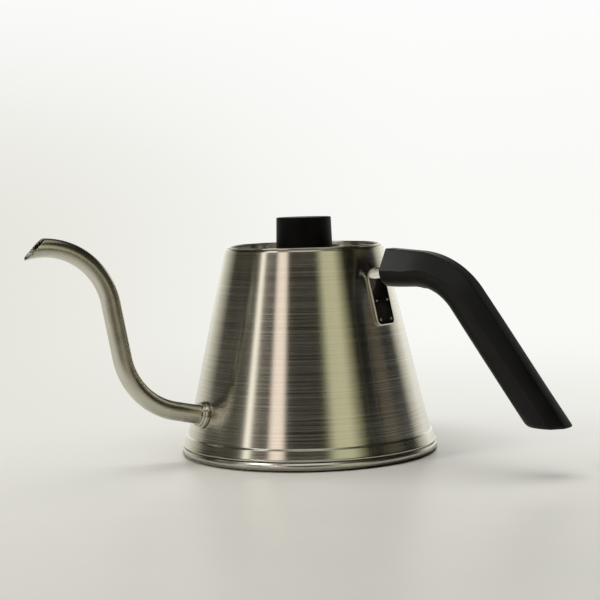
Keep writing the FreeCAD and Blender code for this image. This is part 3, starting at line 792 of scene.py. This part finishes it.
def camera():
    """Camera that looks slightly down at the kettle, with no shift and nothing out of focus."""
    azimuth = math.radians(CAMERA_AZIMUTH)
    back = Vector((math.sin(azimuth), -math.cos(azimuth), 0))
    right = Vector((math.cos(azimuth), math.sin(azimuth), 0))
    down = math.radians(CAMERA_DOWN)
    look = back * -math.cos(down) - UP * math.sin(down)
    data = bpy.data.cameras.new("camera")
    data.lens = CAMERA_LENS
    data.clip_end = 20
    obj = bpy.data.objects.new("camera", data)
    bpy.context.scene.collection.objects.link(obj)
    obj.location = back * CAMERA_DISTANCE + right * CAMERA_SIDE + UP * CAMERA_HEIGHT
    obj.rotation_mode = "QUATERNION"
    obj.rotation_quaternion = look.to_track_quat("-Z", "Y") @ Quaternion((0, 0, 1), math.radians(CAMERA_ROLL))
    bpy.context.scene.camera = obj


def staged(name, bm, material):
    """Mesh that belongs to the set and not to the kettle."""
    for face in bm.faces:
        face.smooth = True
    mesh = bpy.data.meshes.new(name)
    bm.to_mesh(mesh)
    bm.free()
    mesh.materials.append(material)
    obj = bpy.data.objects.new(name, mesh)
    bpy.context.scene.collection.objects.link(obj)
    return obj


def facing_camera(tree, place):
    """Parts of the coordinates turned so that X points to the camera's side and Y to its right."""
    turned_place = add(tree, "ShaderNodeMapping", links={"Vector": place},
                       Rotation=(0, 0, math.radians(90 - CAMERA_AZIMUTH)))
    return add(tree, "ShaderNodeSeparateXYZ", links={"Vector": turned_place.outputs[0]})


def mapped(tree, value, low, high, to_low=0.0, to_high=1.0):
    """Value eased from one range to another and held at its ends."""
    node = add(tree, "ShaderNodeMapRange", {"interpolation_type": "SMOOTHSTEP"}, {"Value": value})
    for key, number in (("From Min", low), ("From Max", high), ("To Min", to_low), ("To Max", to_high)):
        node.inputs[key].default_value = number
    return node.outputs[0]


def backdrop_colour(tree, place):
    """White paper that glows, with painted light: a little darker and warmer on the left, brightest high up.
    Left and right are reckoned on the set from the place where the camera is first put."""
    parts = facing_camera(tree, place)
    deep = add(tree, "ShaderNodeMath", {"operation": "SUBTRACT"}, {1: parts.outputs[0]})
    deep.inputs[0].default_value = CAMERA_DISTANCE
    deep = add(tree, "ShaderNodeMath", {"operation": "MAXIMUM"}, {0: deep.outputs[0]})
    deep.inputs[1].default_value = BACKDROP_NEAREST
    slant = add(tree, "ShaderNodeMath", {"operation": "DIVIDE"}, {0: parts.outputs[1], 1: deep.outputs[0]})
    side = mapped(tree, slant.outputs[0], *BACKDROP_SLANT)
    height = mapped(tree, parts.outputs[2], 0.0, BACKDROP_FULL_HEIGHT)
    low = blend(tree, side, BACKDROP_LEFT, BACKDROP_RIGHT)
    node = add(tree, "ShaderNodeMix", {"data_type": "RGBA"}, {0: height, 6: low})
    node.inputs[7].default_value = srgb(BACKDROP_HIGH)
    return node.outputs[2]


def paper(name, seen_in_metal):
    """Smooth pale paper with a faint soft gloss. Away from the kettle it glows like the backdrop, so
    that no line shows where the two meet, and close to it there is no glow, so that the contact shadow
    stays. The metal sees a paper of its own, with painted shade: it darkens a little way in front, so
    that the metal mirrors a dark floor there."""
    material, tree, surface, place = shader(name)
    fibre = noise(tree, place, 1 / (60 * MM), 3.0)
    base = blend(tree, spread(tree, fibre, 0, 1), FLOOR_LOW, FLOOR_HIGH)
    surface.inputs["Roughness"].default_value = 0.4
    surface.inputs["IOR"].default_value = 1.3
    parts = facing_camera(tree, place)
    shifted = add(tree, "ShaderNodeCombineXYZ", links={"X": parts.outputs[0], "Y": parts.outputs[1]})
    near = add(tree, "ShaderNodeMapping", links={"Vector": shifted.outputs[0]},
               Location=(-FLOOR_SHIFT, 0, 0), Scale=(1, FLOOR_NARROW, 1))
    far = add(tree, "ShaderNodeVectorMath", {"operation": "LENGTH"}, {0: near.outputs[0]})
    share = mapped(tree, far.outputs["Value"], FLOOR_NEAR, FLOOR_FAR)
    out = add(tree, "ShaderNodeVectorMath", {"operation": "LENGTH"}, {0: place})
    away = mapped(tree, out.outputs["Value"], *CONTACT_CLEAR)
    share = add(tree, "ShaderNodeMath", {"operation": "MULTIPLY"}, {0: share, 1: away}).outputs[0]
    further = mapped(tree, far.outputs["Value"], FLOOR_NEAR, FLOOR_GLOW_FAR)
    light = add(tree, "ShaderNodeMix", {"data_type": "RGBA"}, {0: further, 7: backdrop_colour(tree, place)})
    light.inputs[6].default_value = srgb(FLOOR_GLOW)
    light = light.outputs[2]
    if seen_in_metal:
        # painted shade: the paper that only the metal sees turns dark a little way in front
        ahead = mapped(tree, parts.outputs[0], TABLE_NEAR, TABLE_FAR)
        base = add(tree, "ShaderNodeMix", {"data_type": "RGBA"}, {0: ahead, 6: base}).outputs[2]
        base.node.inputs[7].default_value = srgb(TABLE_PAINTED_SHADE)
        light = add(tree, "ShaderNodeMix", {"data_type": "RGBA"}, {0: ahead, 6: light}).outputs[2]
        light.node.inputs[7].default_value = srgb(TABLE_PAINTED_SHADE)
    tree.links.new(base, surface.inputs["Base Color"])
    glowing = add(tree, "ShaderNodeEmission", {}, {"Color": light}, Strength=1.0)
    mixed = add(tree, "ShaderNodeMixShader",
                links={0: share, 1: surface.outputs[0], 2: glowing.outputs[0]})
    output = next(n for n in tree.nodes if n.type == "OUTPUT_MATERIAL")
    tree.links.new(mixed.outputs[0], output.inputs["Surface"])
    return material


def glow(name, build):
    """Material that gives off light. build makes the colour socket from the tree and coordinates."""
    material = bpy.data.materials.new(name)
    material.use_nodes = True
    tree = material.node_tree
    tree.nodes.clear()
    place = tree.nodes.new("ShaderNodeTexCoord").outputs["Object"]
    light = add(tree, "ShaderNodeEmission", {}, {"Color": build(tree, place)}, Strength=1.0)
    add(tree, "ShaderNodeOutputMaterial", links={"Surface": light.outputs[0]})
    return material


def colour_ramp(tree, factor, stops):
    """Colour ramp from (place, hex, brightness) stops."""
    node = add(tree, "ShaderNodeValToRGB", {}, {"Fac": factor})
    elements = node.color_ramp.elements
    while len(elements) < len(stops):
        elements.new(1.0)
    for element, (place, text, gain) in zip(elements, stops):
        element.position = place
        element.color = [c * gain for c in srgb(text)[:3]] + [1.0]
    return node.outputs[0]


# What the polished and brushed faces mirror, by bearing from the camera, positive to the right:
# (degrees, colour, brightness). A pale backdrop behind, dark room at the sides, soft panels in front.
ROOM = [
    (-180, "f8f7f3", 1.25), (-150, "f0eee6", 1.15), (-132, "cdc9bc", 1.00), (-114, "3c3932", 1.10),
    (-100, "34322c", 1.10), (-91, "504c44", 0.80), (-84, "47453e", 0.70), (-72, "625e56", 0.80),
    (-66, "8c887e", 0.80), (-63, "fffaf2", 1.90), (-60, "fffaf2", 1.90), (-56, "8a857c", 0.80),
    (-41, "564e46", 0.70), (-37, "fff0e8", 1.50), (-26.5, "fff0e8", 1.50), (-22.5, "504b42", 0.60),
    (-10, "2e2b24", 0.85), (12, "2e2b24", 0.75), (16, "6a6a52", 0.80), (25, "cdccae", 1.25),
    (40, "d1cfb0", 1.25), (50, "9c9a7c", 0.90), (57, "24221a", 0.70), (72, "1c1a14", 0.60),
    (80, "50483a", 1.10), (90, "50483a", 1.00), (98, "141310", 0.20), (112, "141310", 0.20),
    (122, "c4c0b4", 1.00), (140, "f4f3ee", 1.25), (180, "f8f7f3", 1.25),
]
# The wall fades to ROOM_HIGH above a height that climbs from the back to the front.
ROOM_HIGH = "24221c"
ROOM_BACK_TOP = 1.3
ROOM_FRONT_TOP = 2.2
ROOM_FADE = 0.3

# Soft panels in front and overhead that only glossy rays meet:
# (name, bearing, distance out, height, radius, colour, brightness).
PANELS = [
    ("high_panel", 0, 0.95, 1.65, 0.65, "f8f6f0", 1.0),
    ("lamp", -60, 0.95, 1.15, 0.20, "fffdf8", 5.0),
    ("ceiling", 180, 0.05, 1.9, 0.95, "b4b2a4", 0.9),
]
PANEL_DIM_HEIGHTS = (0.8, 1.0)
PANEL_DIM = 0.8

# paper under the kettle: the part the camera sees, then the part the metal sees
FLOOR_LOW = "dadad4"
FLOOR_HIGH = "dddcd7"
FLOOR_GLOW = "e4e3dc"
FLOOR_SHIFT = 0.42
FLOOR_NARROW = 1.6
FLOOR_NEAR = 0.25
FLOOR_FAR = 0.62
FLOOR_GLOW_FAR = 1.1
CONTACT_CLEAR = (0.066, 0.13)
# painted shade on the paper that only the metal mirrors, from TABLE_NEAR to TABLE_FAR in front
TABLE_PAINTED_SHADE = "7c7468"
TABLE_NEAR = 0.12
TABLE_FAR = 0.32

# backdrop glow with painted light: darker and warmer on the left, brightest high up
BACKDROP_LEFT = "e6e5dd"
BACKDROP_RIGHT = "f9f9f6"
BACKDROP_HIGH = "fdfdfd"
BACKDROP_SLANT = (-0.23, 0.09)
BACKDROP_NEAREST = 0.3
BACKDROP_FULL_HEIGHT = 0.75
WORLD_COLOUR = "2a2822"


def room_colour(tree, place):
    """Colour of the room's wall by bearing from the camera."""
    parts = facing_camera(tree, place)
    bearing = add(tree, "ShaderNodeMath", {"operation": "ARCTAN2"},
                  {0: parts.outputs[1], 1: parts.outputs[0]})
    share = add(tree, "ShaderNodeMapRange", {}, {"Value": bearing.outputs[0]})
    share.inputs["From Min"].default_value = -math.pi
    share.inputs["From Max"].default_value = math.pi
    stops = [((degrees + 180) / 360, text, gain) for degrees, text, gain in ROOM]
    walls = colour_ramp(tree, share.outputs[0], stops)
    behind = mapped(tree, parts.outputs[0], -0.6, 0.6, ROOM_BACK_TOP, ROOM_FRONT_TOP)
    above = add(tree, "ShaderNodeMath", {"operation": "SUBTRACT"}, {0: parts.outputs[2], 1: behind})
    fade = mapped(tree, above.outputs[0], -ROOM_FADE, ROOM_FADE)
    node = add(tree, "ShaderNodeMix", {"data_type": "RGBA"}, {0: fade, 6: walls})
    node.inputs[7].default_value = srgb(ROOM_HIGH)
    return node.outputs[2]


def panel_colour(text, gain):
    """Builder of a panel's colour and brightness, which falls off at its low edge."""
    def build(tree, place):
        height = add(tree, "ShaderNodeSeparateXYZ", links={"Vector": place}).outputs[2]
        share = mapped(tree, height, *PANEL_DIM_HEIGHTS)
        return colour_ramp(tree, share, [(0.0, text, gain * PANEL_DIM), (1.0, text, gain)])
    return build


def from_camera(bearing, distance, height):
    """Place on a bearing from the camera, positive to the right."""
    angle = math.radians(CAMERA_AZIMUTH + bearing)
    return Vector((math.sin(angle) * distance, -math.cos(angle) * distance, height))


def seen_by(obj, camera=True, diffuse=True, glossy=True):
    """Which kinds of ray meet a piece of the set."""
    obj.visible_camera = camera
    obj.visible_diffuse = diffuse
    obj.visible_glossy = glossy
    obj.visible_shadow = False


def set_and_light():
    """Paper floor and backdrop for the camera, a table, a room and panels for the metal, and lights."""
    bm = bmesh.new()
    bmesh.ops.create_circle(bm, cap_ends=True, segments=128, radius=3.0)
    seen_by(staged("floor", bm, paper("pale_paper", False)), glossy=False)

    bm = bmesh.new()
    bmesh.ops.create_circle(bm, cap_ends=True, segments=96, radius=2.9,
                            matrix=Matrix.Translation((0, 0, -0.2 * MM)))
    seen_by(staged("table", bm, paper("paper_seen_in_metal", True)), camera=False, diffuse=False)

    bm = turned([(3000, 0), (3000, 2500), (2200, 3500), (0, 3900)], closed=False, steps=128)
    bmesh.ops.reverse_faces(bm, faces=bm.faces)
    seen_by(staged("backdrop", bm, glow("backdrop_paper", backdrop_colour)), diffuse=False, glossy=False)

    bm = turned([(2990, 0), (2990, 3000)], closed=False, steps=96)
    bmesh.ops.reverse_faces(bm, faces=bm.faces)
    seen_by(staged("room", bm, glow("room_wall", room_colour)), camera=False, diffuse=False)

    area_light("key", bearing=-62, height=0.95, distance=1.5, size=0.45, watts=12, colour="fffaf2")
    for name, bearing, out, height, radius, text, gain in PANELS:
        place = from_camera(bearing, out, height)
        bm = bmesh.new()
        matrix = Matrix.Translation(place) @ place.to_track_quat("-Z", "Y").to_matrix().to_4x4()
        bmesh.ops.create_circle(bm, cap_ends=True, segments=64, radius=radius, matrix=matrix)
        panel = staged(name, bm, glow(name + "_glow", panel_colour(text, gain)))
        seen_by(panel, camera=False, diffuse=False)
    area_light("top", bearing=180, height=1.7, distance=0.25, size=1.5, watts=25, colour="fffefb")
    side = area_light("side", bearing=-88, height=0.9, distance=1.2, size=0.5, watts=8, colour="fffefb")
    side.visible_glossy = True
    only = bpy.data.collections.new("lit_from_the_side")
    only.objects.link(bpy.data.objects["grip_bar"])
    side.light_linking.receiver_collection = only


def area_light(name, bearing, height, distance, size, watts, colour):
    """Soft square light on a bearing from the camera, aimed at the kettle."""
    place = from_camera(bearing, distance, height)
    data = bpy.data.lights.new(name, "AREA")
    data.size = size
    data.energy = watts
    data.color = srgb(colour)[:3]
    obj = bpy.data.objects.new(name, data)
    bpy.context.scene.collection.objects.link(obj)
    obj.location = place
    obj.rotation_mode = "QUATERNION"
    obj.rotation_quaternion = (Vector((0, 0, 0.05)) - place).to_track_quat("-Z", "Y")
    obj.visible_camera = False
    obj.visible_glossy = False
    return obj


def world():
    """Dim warm grey all round, for what nothing else covers."""
    made = bpy.data.worlds.new("studio")
    made.use_nodes = True
    made.node_tree.nodes["Background"].inputs[0].default_value = srgb(WORLD_COLOUR)
    bpy.context.scene.world = made


# ---- assembly -----------------------------------------------------------------------------

for node, finish in CAD_FINISHES.items():
    frame["nodes"][node].data.materials.clear()
    frame["nodes"][node].data.materials.append(finish)
frame["nodes"]["handle_screw_plugs"].data.materials.clear()
frame["nodes"]["handle_screw_plugs"].data.materials.append(GRIP_RESIN)

body_shell()
mouth_ring()
foot()
cap()
spout()
collar()
grip()
strap()
welds()
lid_plate()
lid_skirt()
knob()

world()
set_and_light()
camera()
bpy.context.scene.view_settings.view_transform = "Standard"
